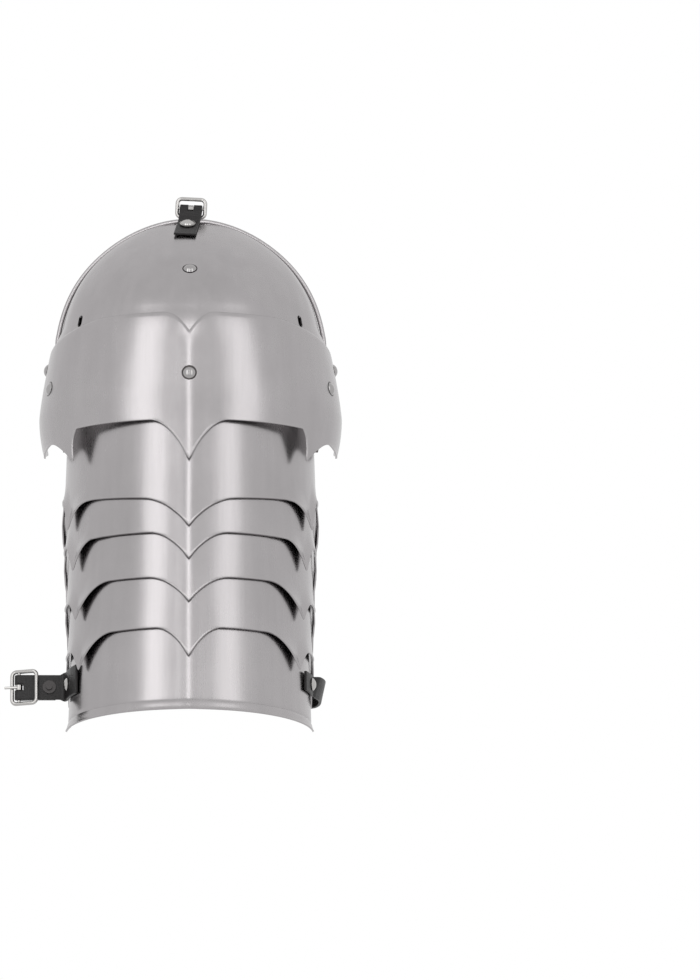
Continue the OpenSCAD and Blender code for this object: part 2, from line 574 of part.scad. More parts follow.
// Free end of the arm strap: round the rear edge and across behind the arm, punched for the prong
end_rise = 12;
end_path = [[root_x, root_y], [root_x + 3, 4], [root_x + 3.6, 14], [root_x + 1, 25], [root_x - 7, 36],
            [root_x - 22, 46], [root_x - 42, 54], [root_x - 66, 59], [root_x - 92, 62], [root_x - 128, 64]];
function path_side(i, off) =
  let (n = len(end_path), d = end_path[min(n - 1, i + 1)] - end_path[max(0, i - 1)], u = d / norm(d))
  end_path[i] + off * [u[1], -u[0]];
module end_strap() color(leather) translate([root_x, 0, strap_z]) rotate([0, end_rise, 0]) translate([-root_x, 0, 0])
  difference() {
    translate([0, 0, -arm_strap_w / 2]) linear_extrude(arm_strap_w)
      polygon(concat([for (i = [0 : len(end_path) - 1]) path_side(i, leather_t / 2)],
                     [for (i = [len(end_path) - 1 : -1 : 0]) path_side(i, -leather_t / 2)]));
    for (i = [0 : 3]) translate([root_x - 100 - 8 * i, 80, 0]) rotate([90, 0, 0]) cylinder(r = 1.6, h = 40);
    translate([0, 90, 0]) rotate([90, 0, 0]) linear_extrude(60) for (s = [-1, 1])
      polygon([[root_x - 130, s * 1.5], [root_x - 112, s * (arm_strap_w / 2 + 1)],
               [root_x - 130, s * (arm_strap_w / 2 + 1)]]);
  }

// Top strap: its base lies on the crown below the rim, and its fold stands up above it
top_rivet_z = 357.5;
top_strap_x = -2.2;
top_lean = 7;
top_slope = 90 - dome_slope(top_rivet_z);
top_stand = 36.3;
top_bar_u = 10;
top_near = -6.2;
top_far = top_near + top_buckle_len - wire_d;
top_tilt = 28;
module at_top() translate([top_strap_x, dome_front(top_rivet_z), top_rivet_z])
  rotate([top_slope, 0, 0]) rotate([0, 0, -top_lean]) children();
// Along the standing part: u runs up the strap and w towards the outside
module at_stand() at_top() translate([0, 10.3, strap_gap + leather_t / 2]) rotate([top_stand, 0, 0])
  rotate([90, 0, 90]) children();
module top_strap_base() color(leather) at_top() difference() {
  translate([-top_strap_w / 2, -16, strap_gap]) cube([top_strap_w, 24.6, leather_t]);
  shank_hole();
}
module top_strap_rivet() color(steel) at_top() {
  rivet(sheet_t + 0.9, leather_t + strap_gap + 0.8);
  translate([0, 0, leather_t + strap_gap + 0.1]) difference() {
    cylinder(r = 5.5, h = 0.6);
    translate([0, 0, -1]) cylinder(r = shank_r + set_gap, h = 3);
  }
}
module top_strap() color(leather) at_stand() difference() {
  translate([0, 0, -top_strap_w / 2]) linear_extrude(top_strap_w) mirror([0, 1]) fold_outline(top_bar_u, 2);
  translate([top_bar_u - 3, -9, -prong_slot / 2]) cube([12, 16, prong_slot]);
}
module at_top_bar() at_stand() translate([top_bar_u, leather_t / 2 - ring_r, 0]) children();
module top_buckle_frame() color(steel) at_top_bar() rotate([0, 0, top_tilt]) buckle_frame(top_buckle_w, top_near, top_far);
module top_buckle_prong() color(steel) at_top_bar() prong(near_at(top_near, top_tilt));

main_plate();
main_rivets();
hanger_leathers();
crown_plate();
crown_rim_wire();
crown_rivet();
lame_1();
lame_2();
lame_3();
lame_4();
bottom_lame();
lame_1_rivets();
lame_2_rivets();
lame_3_rivets();
lame_4_rivets();
bottom_lame_rivets();
crown_leather();
centre_leather_0();
centre_leather_1();
centre_leather_2();
centre_leather_3();
centre_leather_4();
centre_rivet_1();
centre_rivet_2();
centre_rivet_3();
centre_rivet_4();
centre_rivet_5();
arm_strap_base();
arm_strap_base_rivet();
arm_strap();
arm_strap_fold_rivet();
arm_buckle_frame();
arm_buckle_prong();
end_strap_base();
end_strap_base_rivet();
end_strap();
top_strap_base();
top_strap_rivet();
top_strap();
top_buckle_frame();
top_buckle_prong();
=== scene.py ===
# Left spaulder of polished steel plates with leather straps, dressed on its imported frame.
import math

import bpy
from mathutils import Matrix, Vector


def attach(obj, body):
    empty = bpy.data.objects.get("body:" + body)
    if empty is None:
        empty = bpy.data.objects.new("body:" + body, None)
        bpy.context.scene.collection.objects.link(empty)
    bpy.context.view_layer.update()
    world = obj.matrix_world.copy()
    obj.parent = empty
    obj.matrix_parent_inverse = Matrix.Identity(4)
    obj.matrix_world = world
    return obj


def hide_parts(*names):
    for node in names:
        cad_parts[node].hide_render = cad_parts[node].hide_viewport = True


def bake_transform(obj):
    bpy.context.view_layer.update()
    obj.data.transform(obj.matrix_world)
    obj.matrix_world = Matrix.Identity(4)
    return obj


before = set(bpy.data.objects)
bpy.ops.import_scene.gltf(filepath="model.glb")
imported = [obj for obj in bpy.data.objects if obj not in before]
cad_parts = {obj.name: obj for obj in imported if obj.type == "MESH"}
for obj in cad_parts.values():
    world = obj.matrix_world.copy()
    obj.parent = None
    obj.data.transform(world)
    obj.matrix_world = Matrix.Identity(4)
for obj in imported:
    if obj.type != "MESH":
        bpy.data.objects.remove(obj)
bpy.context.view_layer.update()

# Camera
# The photograph is taken from far off and a little below the spaulder, which stands at the
# left of the picture, so a long lens looks up by 13 degrees at a point beside the plates.
LOOK_UP = 13
CAMERA_AWAY = 10.0
PICTURE_HEIGHT = 0.686
look_at = Vector((0.1117, 0.0, 0.1739))
away = Vector((0, -math.cos(math.radians(LOOK_UP)), -math.sin(math.radians(LOOK_UP))))
bpy.ops.object.camera_add(location=look_at + away * CAMERA_AWAY)
camera = bpy.context.object
camera.name = "camera"
camera.rotation_euler = (math.radians(90 + LOOK_UP), 0, 0)
camera.data.sensor_width = 36
camera.data.lens = 36 * CAMERA_AWAY / PICTURE_HEIGHT
camera.data.clip_end = 100
bpy.context.scene.camera = camera
bpy.context.scene.view_settings.view_transform = "Standard"

# Floor and light
# A pale floor lies well below the spaulder, which is shown held up, and white paper stands all
# round it. The camera and the steel see both as white, and the lamps are large and soft.
PAPER_GREY = 0.86
FLOOR_SIZE, FLOOR_Z = 40, -2.5


class Tree:
    """A material's or the world's node tree, emptied, with nodes added by type.

    A socket is given by its name, with _ for a space, or by its number, as _0."""

    def __init__(self, owner):
        owner.use_nodes = True
        self.tree = owner.node_tree
        self.tree.nodes.clear()

    def node(self, kind, settings=None, **sockets):
        made = self.tree.nodes.new(kind)
        for key, value in (settings or {}).items():
            if key == "stops":
                ramp = made.color_ramp
                while len(ramp.elements) > 1:
                    ramp.elements.remove(ramp.elements[-1])
                for i, (place, colour) in enumerate(value):
                    stop = ramp.elements[0] if i == 0 else ramp.elements.new(place)
                    stop.position = place
                    stop.color = (*colour, 1)
            else:
                setattr(made, key, value)
        for name, value in sockets.items():
            key = int(name[1:]) if name[0] == "_" else name.replace("_", " ")
            self.put(made.inputs[key], value)
        return made

    def put(self, socket, value):
        if isinstance(value, Value):
            self.tree.links.new(value.socket, socket)
        elif isinstance(value, bpy.types.NodeSocket):
            self.tree.links.new(value, socket)
        else:
            socket.default_value = value

    def value(self, kind, out=0, settings=None, **sockets):
        return Value(self, self.node(kind, settings, **sockets).outputs[out])


class Value:
    """A number socket on which Python's operators add Math nodes."""

    def __init__(self, tree, socket):
        self.tree, self.socket = tree, socket

    def maths(self, operation, a, b):
        return self.tree.value("ShaderNodeMath", 0, {"operation": operation}, _0=a, _1=b)

    def __add__(self, other):
        return self.maths("ADD", self, other)

    __radd__ = __add__

    def __sub__(self, other):
        return self.maths("SUBTRACT", self, other)

    def __rsub__(self, other):
        return self.maths("SUBTRACT", other, self)

    def __mul__(self, other):
        return self.maths("MULTIPLY", self, other)

    __rmul__ = __mul__

    def __lt__(self, other):
        return self.maths("LESS_THAN", self, other)


world = bpy.context.scene.world or bpy.data.worlds.new("studio")
bpy.context.scene.world = world


def shown_white(tree, lit, white):
    """The shader lit for the light itself, and white where the camera, steel or glass looks at it."""
    rays = tree.node("ShaderNodeLightPath")
    looks = [Value(tree, rays.outputs[f"Is {kind} Ray"]) for kind in ("Camera", "Glossy", "Transmission")]
    return tree.node("ShaderNodeMixShader", Fac=looks[0] + looks[1] + looks[2],
                     _1=lit.outputs[0], _2=white.outputs[0]).outputs[0]


studio = Tree(world)
dim = studio.node("ShaderNodeBackground", Color=(0.80, 0.81, 0.83, 1), Strength=0.55)
white = studio.node("ShaderNodeBackground", Color=(1, 1, 1, 1), Strength=1.0)
studio.node("ShaderNodeOutputWorld", Surface=shown_white(studio, dim, white))

bpy.ops.mesh.primitive_plane_add(size=FLOOR_SIZE, location=(0, 0, FLOOR_Z))
floor = bpy.context.object
floor.name = "floor"
floor_finish = bpy.data.materials.new("pale_floor")
pale = Tree(floor_finish)
matt = pale.node("ShaderNodeBsdfDiffuse", Color=(PAPER_GREY, PAPER_GREY, PAPER_GREY, 1))
glow = pale.node("ShaderNodeEmission", Color=(1, 1, 1, 1), Strength=1.0)
pale.node("ShaderNodeOutputMaterial", Surface=shown_white(pale, matt, glow))
floor.data.materials.append(floor_finish)


LAMP_HIGH, LAMP_AIM = 3.2, Vector((0, 0, 0.2))


def softbox(name, place, wide, watts):
    """A tall soft lamp turned to the spaulder; the polished plates show it as an upright band."""
    bpy.ops.object.light_add(type="AREA", location=place)
    lamp = bpy.context.object
    lamp.name = name
    lamp.data.shape = "RECTANGLE"
    lamp.data.size, lamp.data.size_y = wide, LAMP_HIGH
    lamp.data.energy = watts
    lamp.rotation_euler = (LAMP_AIM - Vector(place)).to_track_quat("-Z", "Y").to_euler()


softbox("left_softbox", (-1.35, -2.2, 0.6), 0.95, 14)
softbox("right_softbox", (1.5, -2.1, 0.6), 1.0, 10.5)
softbox("front_strip", (-0.06, -2.8, 0.6), 0.4, 9.5)

# Arm lames
# Five plates of rolled and polished steel sheet close round the front of the upper arm. Each
# lower edge is cut to a point in the middle and a cusp on each side, and covers the next plate.
# All sizes from here on are in millimetres and degrees, until a mesh gets its points in metres.
SHEET = 1.2
# Free room between a lame and the next one, at the flank and at the front
FLANK_GAP, FRONT_GAP = 0.9, 1.8
# The first lame's half width, and how much wider each lame gets with every millimetre downwards
LAME_HALF_W, LAME_GROW = 88.6, 0.034
# Each lame turns on two rear rivets at this angle from the front, in a round tab of this radius
REAR_RIVET_A, TAB_R = 110, 8
FULL_A = REAR_RIVET_A + math.degrees(TAB_R / LAME_HALF_W)
# Heights above the hem for the shoulder plate (0) and the lames (1 to 4), as in the part's source
TIP_Z = (175.3, 128.5, 105.7, 75.7, 37.5)
ARCH_IN_Z = (204.3, 148.5, 125, 93.5, 58)
ARCH_OUT_Z = (204.6, 154, 126.5, 95, 58.5)
CUSP_Z = (183.2, 138.6, 108.2, 72.9, 36.7)
APEX_Z = (199.5, 163, 128, 87, 52)
FLANK_Z = (196.5, 161.5, 126, 86, 51)
CUSP_A = (56.5, 70.2, 65.5, 63.8, 61.4)
APEX_A = (71.5, 82, 78, 75, 73)
TIP_W = (24, 32, 29, 30, 25)
CUSP_W = (13, 26, 24, 38, 36)
# The arch between the point and the cusp rises from the first of these angles over the second
ARCH_A, ARCH_OVER_A = 15, 35
# Upper edges of the lames (1 to 5); the first one falls off behind an angle by a height
TOP_Z = (0, 214, 168, 131, 104, 68)
FIRST_FALL_A, FIRST_FALL = 96, 22
# Angles between which the lower and the upper edge come down to the rear tab
LOW_FALL_A, HIGH_FALL_A, TAB_A = 92, 93, 100
# The bottom lame's hem is turned out below a groove, and rises behind an angle to the rear tab
HEM_H, HEM_OUT, HEM_GROOVE, GROOVE_W = 6.5, 1.6, 0.45, 0.9
HEM_RISE_A, HEM_RISE_POWER = 86, 1.4
# Round its cusps a lame stands off the next one, from this many degrees before them
LIFT_OUT, LIFT_H, LIFT_BEFORE_A, LIFT_END_A = 2.4, 16, 26, 97
# A low ridge runs down the middle, and a fine lip along each lower edge
RIDGE_H, RIDGE_W = 0.7, 7
LIP, LIP_H, LIP_END_A = 0.3, 1.4, 95
PLATE_EDGE_R = 0.42
# Rows of a plate's grid lie this far from a cut edge, which gives it a crisp rounding
EDGE_ROWS = (0, 0.5, 1.1, 2)
LAME_ROWS = 22


def mix(p, q, t):
    return p + (q - p) * min(1, max(0, t))


def ease(t):
    return 1 - (1 - min(1, max(0, t))) ** 2


def arc(a):
    return math.radians(a) * LAME_HALF_W


def middle_z(n):
    return 12 if n == 5 else (TIP_Z[n] + ARCH_OUT_Z[n]) / 2


def low_size(n, gap):
    if n == 1:
        return LAME_HALF_W
    return low_size(n - 1, gap) - SHEET - gap + LAME_GROW * (middle_z(n - 1) - middle_z(n))


def lame_size(n, z, gap):
    """Distance of lame n from the arm's axis at the height z, with the gap of the flank or the front."""
    return low_size(n, gap) - LAME_GROW * (z - middle_z(n))


def ridge(x):
    return RIDGE_H * math.exp(-((x / RIDGE_W) ** 2))


def stand_off(n, a, z):
    """How far a lame is turned out at its hem, or stands off round its cusps."""
    if n == 5:
        return HEM_OUT * max(0, 1 - z / HEM_H)
    if a >= LIFT_END_A:
        return 0
    near = (1 - (CUSP_A[n] - a) / LIFT_BEFORE_A if a < CUSP_A[n]
            else 1 - (a - CUSP_A[n]) / (LIFT_END_A - CUSP_A[n]))
    return LIFT_OUT * ease(near) * max(0, 1 - (z - edge(n, min(a, 90))) / LIFT_H) ** 2


def lame_point(n, a, z, out=0):
    """A point of lame n's outer face, moved outwards by out."""
    out += stand_off(n, abs(a), z)
    wide = lame_size(n, z, FLANK_GAP) + out
    deep = lame_size(n, z, FRONT_GAP) + out if abs(a) <= 90 else wide
    x = wide * math.sin(math.radians(a))
    return x, -deep * math.cos(math.radians(a)) - (ridge(x) if abs(a) < 90 else 0), z


def pivot_z(n):
    return 208 if n == 1 else TIP_Z[n - 1] - 8


def edge(n, a):
    """Height of plate n's patterned lower edge at the angle a round the arm."""
    if a <= CUSP_A[n]:
        arch = mix(ARCH_IN_Z[n], ARCH_OUT_Z[n], (a - ARCH_A) / ARCH_OVER_A)
        tip = (arch - TIP_Z[n]) * (1 - ease(arc(a) / TIP_W[n]))
        cusp = (arch - CUSP_Z[n]) * (1 - ease(arc(CUSP_A[n] - a) / CUSP_W[n]))
        return arch - tip - cusp
    if a < APEX_A[n]:
        return mix(CUSP_Z[n], APEX_Z[n], ease((a - CUSP_A[n]) / (APEX_A[n] - CUSP_A[n])))
    return mix(APEX_Z[n], FLANK_Z[n], (a - APEX_A[n]) / (90 - APEX_A[n]))


def tab(a):
    return math.sqrt(max(0, TAB_R**2 - arc(a - REAR_RIVET_A) ** 2))


def lame_low(n, a):
    """Height of lame n's whole lower edge, down to the tab of the next lame's rear rivet."""
    if n == 5:
        if a >= REAR_RIVET_A:
            return pivot_z(5) - tab(a)
        rise = max(0, (a - HEM_RISE_A) / (REAR_RIVET_A - HEM_RISE_A))
        return (pivot_z(5) - TAB_R) * rise**HEM_RISE_POWER
    if a <= LOW_FALL_A:
        return edge(n, a)
    if a < REAR_RIVET_A:
        return mix(FLANK_Z[n], pivot_z(n + 1) - TAB_R, (a - LOW_FALL_A) / (TAB_A - LOW_FALL_A))
    return pivot_z(n + 1) - tab(a)


def lame_high(n, a):
    if n == 1:
        return mix(TOP_Z[1], TOP_Z[1] - FIRST_FALL, (a - FIRST_FALL_A) / (FULL_A - FIRST_FALL_A))
    if a < REAR_RIVET_A:
        return mix(TOP_Z[n], pivot_z(n) + TAB_R, (a - HIGH_FALL_A) / (TAB_A - HIGH_FALL_A))
    return pivot_z(n) + tab(a)


def row_z(n, row, low, high):
    """Height of a row of lame n's grid, with close rows at the cut edge and round the hem's groove."""
    if row < 4:
        return low + EDGE_ROWS[row]
    if n < 5 or low >= HEM_H - 2:
        return mix(low + 2, high, ((row - 3) / (LAME_ROWS - 3)) ** 1.4)
    if row < 7:
        return mix(low + 2, HEM_H - 0.5, (row - 3) / 3)
    if row < 12:
        return HEM_H + (0, 0.5, 1.4, 3, 6)[row - 7]
    return mix(HEM_H + 6, high, (row - 11) / (LAME_ROWS - 11))


def lame_corner(n, a, row):
    low, high = lame_low(n, abs(a)), lame_high(n, abs(a))
    z = row_z(n, row, low, high)
    groove = HEM_GROOVE * max(0, 1 - abs(z - HEM_H) / GROOVE_W) if n == 5 else 0
    lip = LIP * max(0, 1 - (z - low) / LIP_H) ** 2 if abs(a) < LIP_END_A else 0
    return lame_point(n, a, z, lip - groove)


def angle_steps(marks, counts):
    """Angles from -marks[-1] to marks[-1] that hit every mark, with counts[i] steps between."""
    half = [0.0]
    for low, high, count in zip([0, *marks], marks, counts):
        half += [low + (high - low) * (i + 1) / count for i in range(count)]
    return [-a for a in reversed(half[1:])] + half


def shaped_sheet(name, columns, rows, place):
    """A flat grid of columns by rows squares, each corner moved to place(column, row) in mm."""
    bpy.ops.object.select_all(action="DESELECT")
    bpy.ops.mesh.primitive_grid_add(x_subdivisions=columns, y_subdivisions=rows, size=1)
    sheet = bpy.context.object
    sheet.name = sheet.data.name = name
    for corner in sheet.data.vertices:
        column, row = round((corner.co.x + 0.5) * columns), round((corner.co.y + 0.5) * rows)
        corner.co = Vector(place(column, row)) / 1000
    return sheet


def finish_sheet(sheet, wall, edge_round, side=-1):
    """Gives a sheet its wall and, unless edge_round is 0, breaks its edges as filing does."""
    steps = [("SOLIDIFY", {"thickness": wall / 1000, "offset": side, "use_even_offset": False})]
    if edge_round:
        steps += [("BEVEL", {"width": edge_round / 1000, "segments": 3, "angle_limit": math.radians(50)})]
    for kind, settings in steps:
        modifier = sheet.modifiers.new(kind.title(), kind)
        for key, value in settings.items():
            setattr(modifier, key, value)
        bpy.ops.object.modifier_apply(modifier=modifier.name)
    bpy.ops.object.shade_smooth_by_angle(angle=math.radians(40))


# Painted shade: colour and radius of the dark ring round each rivet head
RIVET_SHADE, RIVET_SHADE_R = (0.06, 0.055, 0.055, 1), 5.3


def polished_steel(name, colour, streaks, dullness, rivets=()):
    """Polished sheet steel: fine streaks of the polishing belt, soft hammer waves, faint stains.

    A dark ring of painted shade lies round the head of each rivet that stands on it."""
    material = bpy.data.materials.new(name)
    tree = Tree(material)
    place = tree.node("ShaderNodeTexCoord").outputs["Object"]
    belt = tree.node("ShaderNodeMapping", Vector=place, Scale=(700, 700, 9)).outputs[0]
    streak = tree.value("ShaderNodeTexNoise", 0, None, Vector=belt, Scale=1.0, Detail=3.0, Roughness=0.6)
    wide_belt = tree.node("ShaderNodeMapping", Vector=place, Scale=(90, 90, 7)).outputs[0]
    band = tree.value("ShaderNodeTexNoise", 0, None, Vector=wide_belt, Scale=1.0, Detail=3.0)
    wave = tree.value("ShaderNodeTexNoise", 0, None, Vector=place, Scale=17.0, Detail=1.0)
    stain = tree.value("ShaderNodeTexNoise", 0, None, Vector=place, Scale=9.0, Detail=6.0, Roughness=0.62)
    darker, lighter = (tuple(c * k for c in colour) for k in (0.9, 1.1))
    base = tree.node("ShaderNodeValToRGB", {"stops": ((0.3, darker), (0.7, lighter))},
                     Fac=stain * 0.7 + band * 0.3).outputs[0]
    # Painted shade: the colour is darkened within a small radius of each rivet's centre
    if rivets:
        gaps = [tree.value("ShaderNodeVectorMath", 1, {"operation": "DISTANCE"}, _0=place,
                           _1=tuple(rivet / 1000)) for rivet in rivets]
        near = [gap < RIVET_SHADE_R / 1000 for gap in gaps]
        base = tree.node("ShaderNodeMix", {"data_type": "RGBA"}, _0=sum(near[1:], near[0]), _6=base,
                         _7=RIVET_SHADE).outputs[2]
    rough = dullness + (streak - 0.5) * 0.07 + (stain - 0.5) * 0.16
    height = streak * streaks + band * 0.35 + wave * 3.2
    bump = tree.node("ShaderNodeBump", Strength=0.35, Distance=0.0006, Height=height)
    steel = tree.node("ShaderNodeBsdfPrincipled", Base_Color=base, Metallic=1.0,
                      Roughness=rough, Normal=bump.outputs[0])
    tree.node("ShaderNodeOutputMaterial", Surface=steel.outputs[0])
    return material


PLATE_STEEL = ((0.375, 0.360, 0.365), 0.03, 0.26)
plate_finish = polished_steel("polished_plate_steel", *PLATE_STEEL)

for n, name in enumerate(("lame_1", "lame_2", "lame_3", "lame_4", "bottom_lame"), 1):
    k = min(n, 4)
    angles = angle_steps((18, CUSP_A[k] - 12, CUSP_A[k], APEX_A[k], LOW_FALL_A, TAB_A, FULL_A),
                         (28, 26, 24, 14, 10, 8, 18))
    plate = shaped_sheet(name + "_plate", len(angles) - 1, LAME_ROWS,
                         lambda column, row: lame_corner(n, angles[column], row))
    finish_sheet(plate, SHEET, PLATE_EDGE_R)
    plate.data.materials.append(plate_finish)
    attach(plate, name)
    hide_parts(name)

# Shoulder plate
# A plate of steel sheet dished to a dome, cut with a notch in the middle of its upper edge, and
# with a point and cusps below, like the lames. It lies over the crown plate and the first lame.
MAIN_HALF_W, MAIN_DEPTH, MAIN_WIDE_Z, CROWN_TOP_Z = 106, 92, 224, 363.4
DOME_H = CROWN_TOP_Z + 0.6 - MAIN_WIDE_Z
# The dome's front stands upright up to FRONT_Z, turns back in an arc by BEND_A, then runs on
FRONT_Z, FRONT_R, BEND_A = 255.8, 91.9, math.radians(42)
BEND_Z = FRONT_Z + FRONT_R * math.sin(BEND_A)
BEND_Y = -MAIN_DEPTH + FRONT_R * (1 - math.cos(BEND_A))
FRONT_CURVE = 0.0055
# Below its bulge the plate comes in, to lie close over the first lame
BULGE_Z, CLOSE_Z, CLOSE_IN, CLOSE_SLOPE = 229, 203, 2.5, 0.07
# Below its widest height the flank draws in, and towards the top the dome's middle moves back
WIDE_IN, WIDE_IN_H = 3.1, 25
BACK, BACK_Z, BACK_H = 15, 250, 114
FULLNESS = 2
MAIN_FULL_A = 104
# The upper edge is level beside the notch and falls off towards the flanks
UPPER_Z, FLANK_UPPER_Z, NOTCH_Z, NOTCH_W = 281.6, 271, 267.5, 17
UPPER_FALL_A, UPPER_FALL_OVER_A = 42, 45
FLANK_RISE = 8
MAIN_LIP, TURNED_IN, TURNED_IN_H = 0.35, 1.0, 2.2
CREASE_TOP_Z, CREASE_FADE_H = 266, 14
MAIN_ROWS = 44
MAIN_RIVET_Z, FLANK_RIVET_A, FLANK_RIVET_Z, CROWN_PIVOT_Z = 236.4, 71, 239.5, 259.5


def smooth(t):
    t = min(1, max(0, t))
    return t * t * (3 - 2 * t)


def dome_width(z):
    if z < MAIN_WIDE_Z:
        return MAIN_HALF_W - WIDE_IN * ((MAIN_WIDE_Z - z) / WIDE_IN_H) ** 2
    u = (z - MAIN_WIDE_Z) / DOME_H
    return MAIN_HALF_W * math.sqrt(max(0, 1 - u * u)) - FULLNESS * math.sin(2 * math.pi * u)


def dome_front(z):
    """Y of the dome's front on the centre line."""
    if z < BULGE_Z:
        close = CLOSE_IN * smooth((BULGE_Z - z) / (BULGE_Z - CLOSE_Z))
        return -MAIN_DEPTH + close - CLOSE_SLOPE * max(0, CLOSE_Z - z)
    if z < FRONT_Z:
        return -MAIN_DEPTH
    if z < BEND_Z:
        return -MAIN_DEPTH + FRONT_R * (1 - math.sqrt(1 - ((z - FRONT_Z) / FRONT_R) ** 2))
    h = z - BEND_Z
    return BEND_Y + math.tan(BEND_A) * h + FRONT_CURVE * h * h


def dome_raw(a, z):
    middle = -BACK * max(0, z - BACK_Z) / BACK_H
    turn = math.radians(a)
    deep = middle - dome_front(z) if abs(a) <= 90 else dome_width(z)
    return Vector((dome_width(z) * math.sin(turn), middle - deep * math.cos(turn), z))


def dome_normal(a, z):
    across = dome_raw(a + 0.5, z) - dome_raw(a - 0.5, z)
    upwards = dome_raw(a, z + 0.2) - dome_raw(a, z - 0.2)
    return across.cross(upwards).normalized()


def dome_point(a, z, inset=0, crease=0):
    """A point on the dome, moved inwards by inset, and outwards on the ridge by the share crease."""
    p = dome_raw(a, z)
    return p - (inset - crease * ridge(p.x)) * dome_normal(a, z)


def main_high(a):
    level = mix(UPPER_Z, FLANK_UPPER_Z, (a - UPPER_FALL_A) / UPPER_FALL_OVER_A)
    return level - (UPPER_Z - NOTCH_Z) * (1 - ease(arc(a) / NOTCH_W))


def main_low(a):
    return edge(0, a) if a <= 90 else mix(FLANK_Z[0], FLANK_Z[0] + FLANK_RISE, (a - 90) / (MAIN_FULL_A - 90))


main_angles = angle_steps((18, CUSP_A[0] - 8, CUSP_A[0], APEX_A[0], 90, MAIN_FULL_A),
                          (30, 34, 18, 18, 16, 12))


def main_corner(column, row):
    a = main_angles[column]
    low, high = main_low(abs(a)), main_high(abs(a))
    if row < 4:
        z = low + EDGE_ROWS[row]
    elif row > MAIN_ROWS - 4:
        z = high - EDGE_ROWS[MAIN_ROWS - row]
    else:
        z = mix(low + 2, high - 2, (row - 3) / (MAIN_ROWS - 6))
    lip = MAIN_LIP * max(0, 1 - (z - low) / LIP_H) ** 2
    turned_in = TURNED_IN * max(0, 1 - (high - z) / TURNED_IN_H) ** 2
    return dome_point(a, z, turned_in - lip, ease((CREASE_TOP_Z - z) / CREASE_FADE_H))


shoulder = shaped_sheet("shoulder_plate", len(main_angles) - 1, MAIN_ROWS, main_corner)
finish_sheet(shoulder, SHEET, PLATE_EDGE_R)
riveted = [dome_point(0, MAIN_RIVET_Z)]
for side in (-1, 1):
    riveted += [dome_point(side * FLANK_RIVET_A, FLANK_RIVET_Z), dome_point(side * 90, CROWN_PIVOT_Z)]
shoulder.data.materials.append(polished_steel("shoulder_plate_steel", *PLATE_STEEL, riveted))
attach(shoulder, "main")
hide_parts("main_plate")

# Crown plate
# The upper part of the same dome, of the same sheet, tucked under the shoulder plate and riveted
# to the leather inside. Two slots near its flanks take a lace, and a near-black collar under each one is
# painted shade seen through it.
CROWN_INSET = SHEET + 1.3
CROWN_LOW_Z, CROWN_LOW_RISE, CROWN_COLUMNS, CROWN_ROWS = 251.5, 2, 150, 60
CROWN_RIVET_Z = 317
# It lies CROWN_INSET under the dome up to TUCK_Z, and comes out to it over the next TUCK_H. Its sides
# end SIDE_A past 90 degrees up to SIDE_Z, and draw in to 90 over the next SIDE_H.
TUCK_Z, TUCK_H = 285, 50
SIDE_A, SIDE_Z, SIDE_H = 5.5, 262, 22
# The sheet sinks a little towards its rim, so that the rolled bead stands proud of it
RIM_SINK, SINK_A, SINK_OVER_A, SINK_Z, SINK_H, SINK_W = 1.7, 66, 18, 276, 12, 5
# Length along the sheet at the top for every millimetre of height
TOP_RUN = 1.67


def crown_inset(z):
    return CROWN_INSET * (1 - ease((z - TUCK_Z) / TUCK_H))


def crown_full_a(z):
    return 90 + SIDE_A * (1 - ease((z - SIDE_Z) / SIDE_H))


def crown_corner(column, row):
    s = 2 * column / CROWN_COLUMNS - 1
    low = CROWN_LOW_Z + CROWN_LOW_RISE * math.sin(math.radians(90 * abs(s)))
    z = mix(low, CROWN_TOP_Z, 1 - (1 - row / CROWN_ROWS) ** 1.6)
    a = s * crown_full_a(z)
    beside = smooth((abs(a) - SINK_A) / SINK_OVER_A) * smooth((z - SINK_Z) / SINK_H)
    under = smooth(1 - (CROWN_TOP_Z - z) * TOP_RUN / SINK_W)
    return dome_point(a, z, crown_inset(z) + RIM_SINK * max(beside, under))


crown = shaped_sheet("crown_dome", CROWN_COLUMNS, CROWN_ROWS, crown_corner)
finish_sheet(crown, SHEET, 0)


def on_dome(a, z, inset=0):
    """Frame on the dome: its Z is the outward normal, and its X points down the slope."""
    v = dome_normal(a, z)
    turned = Matrix.Rotation(math.atan2(v.y, v.x), 4, "Z") @ Matrix.Rotation(math.acos(v.z), 4, "Y")
    return Matrix.Translation(dome_point(a, z, inset) / 1000) @ turned


def long_hole(wide, high, deep, place):
    """A solid with the outline of a slot, across the sheet at the frame place."""
    bpy.ops.object.select_all(action="DESELECT")
    bpy.ops.mesh.primitive_cylinder_add(vertices=32, radius=wide / 2000, depth=deep / 1000)
    solid = bpy.context.object
    for corner in solid.data.vertices:
        corner.co.x += math.copysign((high - wide) / 2000, corner.co.x)
    solid.data.transform(place)
    return solid


def punch_out(piece, cutter):
    """Cuts the shape of cutter out of piece."""
    bpy.context.view_layer.objects.active = piece
    cut = piece.modifiers.new("Punch", "BOOLEAN")
    cut.operation, cut.object, cut.solver = "DIFFERENCE", cutter, "EXACT"
    bpy.ops.object.modifier_apply(modifier=cut.name)
    bpy.data.objects.remove(cutter)


